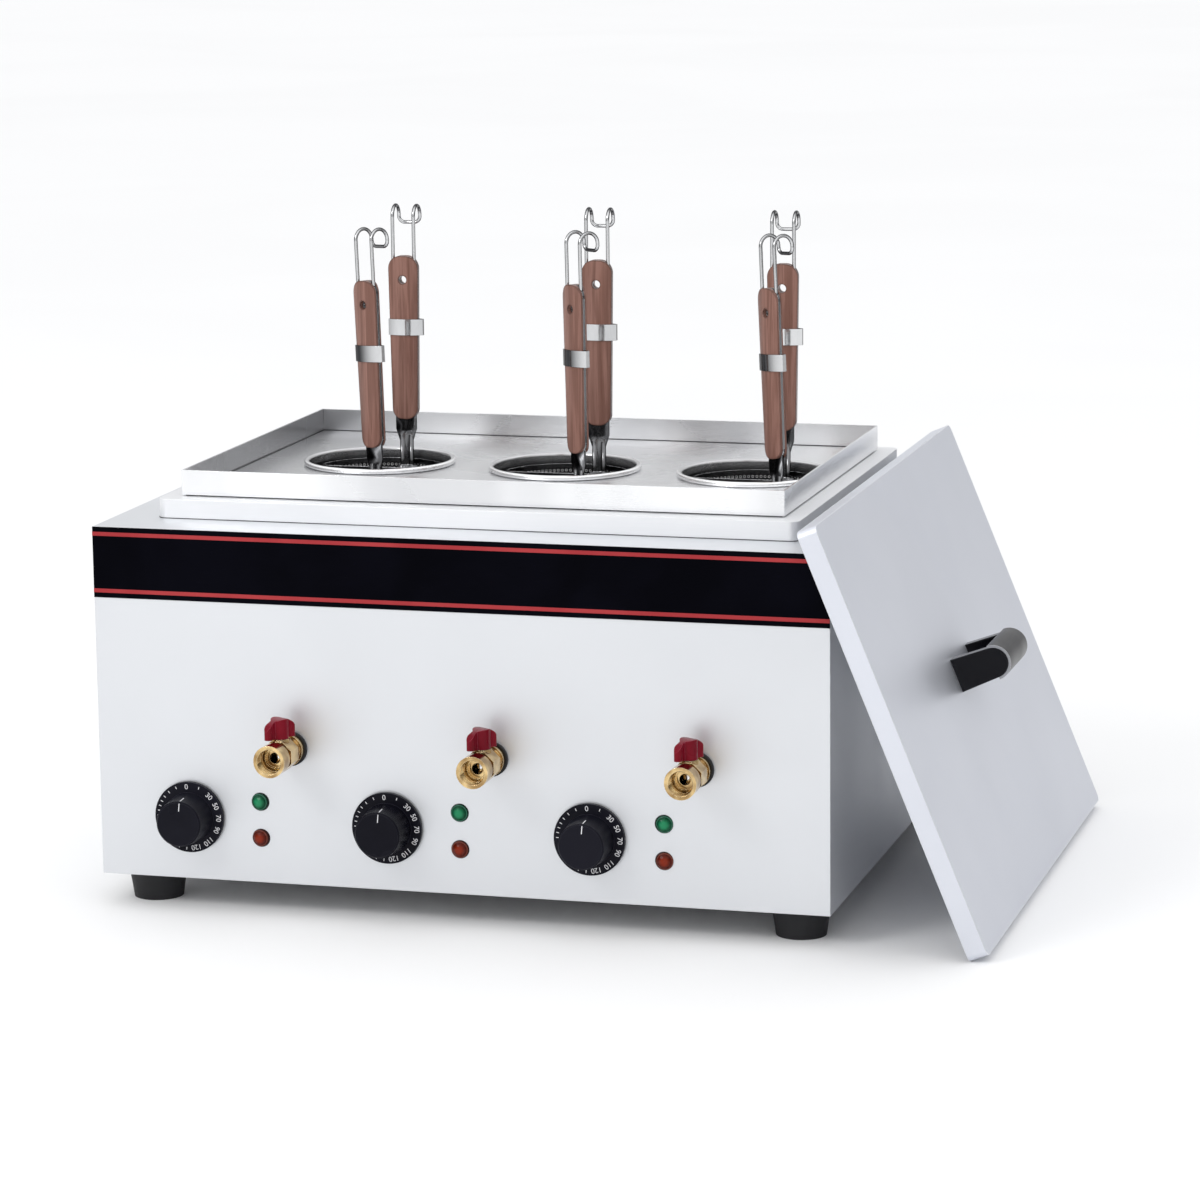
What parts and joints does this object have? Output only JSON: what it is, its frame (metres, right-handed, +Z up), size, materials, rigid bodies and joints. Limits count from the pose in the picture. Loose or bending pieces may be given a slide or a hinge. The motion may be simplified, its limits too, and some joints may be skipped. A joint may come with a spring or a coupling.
{
  "type": "countertop pasta cooker",
  "caption": "Countertop electric pasta cooker: a steel box with round tanks in an open tray, half-round lift-out strainers, drain valves, thermostat knobs and a leaning lid.",
  "frame": {"origin": "on the ground below the middle of the whole part, with its valves and its leaning lid", "axes": "+X to the right as seen from the controls, +Y to the back, +Z up"},
  "size_m": [0.7266, 0.5655, 0.5395],
  "materials": {
    "satin_steel": "satin, pale",
    "brushed_steel": "brushed",
    "bright_steel": "bright",
    "black_band": "gloss film",
    "red_line": "gloss film",
    "rubber": "matt",
    "heater_tube": "dark annealed",
    "brass": "polished",
    "chromed_ball": "polished",
    "red_lever": "red enamel",
    "moulded_case": "moulded",
    "green_lens": "translucent",
    "amber_lens": "translucent",
    "terminal_plastic": "moulded",
    "black_plastic": "moulded",
    "strainer_steel": "bright, perforated",
    "wood": "oiled",
    "hook_wire": "bright wire"
  },
  "bodies": {
    "cooker": {"base_plate": "brushed_steel", "body_wrap": "satin_steel", "front_panel": "satin_steel", "top_plate": "satin_steel", "back_cover": "satin_steel", "control_band": "black_band", "band_stripes": "red_line", "deck": "satin_steel", "tray_seal": "rubber", "tray": "brushed_steel", "tank_1": "bright_steel", "tank_2": "bright_steel", "tank_3": "bright_steel", "rest_plates": "brushed_steel", "heaters": "heater_tube", "drain_pipes": "brushed_steel", "valve_body_1": "brass", "valve_body_2": "brass", "valve_body_3": "brass", "valve_washers": "rubber", "thermostats": "moulded_case", "green_lamps": "green_lens", "amber_lamps": "amber_lens", "terminal_block": "terminal_plastic", "cable_gland": "moulded_case", "feet": "rubber", "screws": "bright_steel"},
    "knob_set_1": {"knob_1": "black_plastic", "spindle_1": "bright_steel"},
    "valve_set_1": {"lever_1": "red_lever", "valve_ball_1": "chromed_ball"},
    "rear_strainer_1": {"rear_basket_1": "strainer_steel", "rear_grip_1": "wood", "rear_hook_1": "hook_wire"},
    "front_strainer_1": {"front_basket_1": "strainer_steel", "front_grip_1": "wood", "front_hook_1": "hook_wire"},
    "knob_set_2": {"knob_2": "black_plastic", "spindle_2": "bright_steel"},
    "valve_set_2": {"lever_2": "red_lever", "valve_ball_2": "chromed_ball"},
    "rear_strainer_2": {"rear_basket_2": "strainer_steel", "rear_grip_2": "wood", "rear_hook_2": "hook_wire"},
    "front_strainer_2": {"front_basket_2": "strainer_steel", "front_grip_2": "wood", "front_hook_2": "hook_wire"},
    "knob_set_3": {"knob_3": "black_plastic", "spindle_3": "bright_steel"},
    "valve_set_3": {"lever_3": "red_lever", "valve_ball_3": "chromed_ball"},
    "rear_strainer_3": {"rear_basket_3": "strainer_steel", "rear_grip_3": "wood", "rear_hook_3": "hook_wire"},
    "front_strainer_3": {"front_basket_3": "strainer_steel", "front_grip_3": "wood", "front_hook_3": "hook_wire"},
    "lid": {"lid_pan": "satin_steel", "lid_handle_legs": "black_plastic", "lid_handle_strap": "brushed_steel"}
  },
  "joints": [
    {"name": "thermostat_1", "type": "hinge", "parent": "cooker", "child": "knob_set_1", "pos_m": [-0.28676, -0.23125, 0.077], "axis": [0, 1, 0], "range_deg": [0, 270]},
    {"name": "drain_valve_1", "type": "hinge", "parent": "cooker", "child": "valve_set_1", "pos_m": [-0.20076, -0.25575, 0.137], "axis": [0, 0, 1], "range_deg": [-60, 30]},
    {"name": "rear_strainer_1_lift", "type": "slide", "parent": "cooker", "child": "rear_strainer_1", "axis": [0, 0, 1], "range_m": [0, 0.18]},
    {"name": "front_strainer_1_lift", "type": "slide", "parent": "cooker", "child": "front_strainer_1", "axis": [0, 0, 1], "range_m": [0, 0.18]},
    {"name": "thermostat_2", "type": "hinge", "parent": "cooker", "child": "knob_set_2", "pos_m": [-0.12076, -0.23125, 0.077], "axis": [0, 1, 0], "range_deg": [0, 270]},
    {"name": "drain_valve_2", "type": "hinge", "parent": "cooker", "child": "valve_set_2", "pos_m": [-0.03476, -0.25575, 0.137], "axis": [0, 0, 1], "range_deg": [-60, 30]},
    {"name": "rear_strainer_2_lift", "type": "slide", "parent": "cooker", "child": "rear_strainer_2", "axis": [0, 0, 1], "range_m": [0, 0.18]},
    {"name": "front_strainer_2_lift", "type": "slide", "parent": "cooker", "child": "front_strainer_2", "axis": [0, 0, 1], "range_m": [0, 0.18]},
    {"name": "thermostat_3", "type": "hinge", "parent": "cooker", "child": "knob_set_3", "pos_m": [0.04524, -0.23125, 0.077], "axis": [0, 1, 0], "range_deg": [0, 270]},
    {"name": "drain_valve_3", "type": "hinge", "parent": "cooker", "child": "valve_set_3", "pos_m": [0.13124, -0.25575, 0.137], "axis": [0, 0, 1], "range_deg": [-60, 30]},
    {"name": "rear_strainer_3_lift", "type": "slide", "parent": "cooker", "child": "rear_strainer_3", "axis": [0, 0, 1], "range_m": [0, 0.18]},
    {"name": "front_strainer_3_lift", "type": "slide", "parent": "cooker", "child": "front_strainer_3", "axis": [0, 0, 1], "range_m": [0, 0.18]},
    {"name": "lid_lift", "type": "slide", "parent": "cooker", "child": "lid", "axis": [0, 0, 1], "range_m": [0, 0.33]}
  ]
}
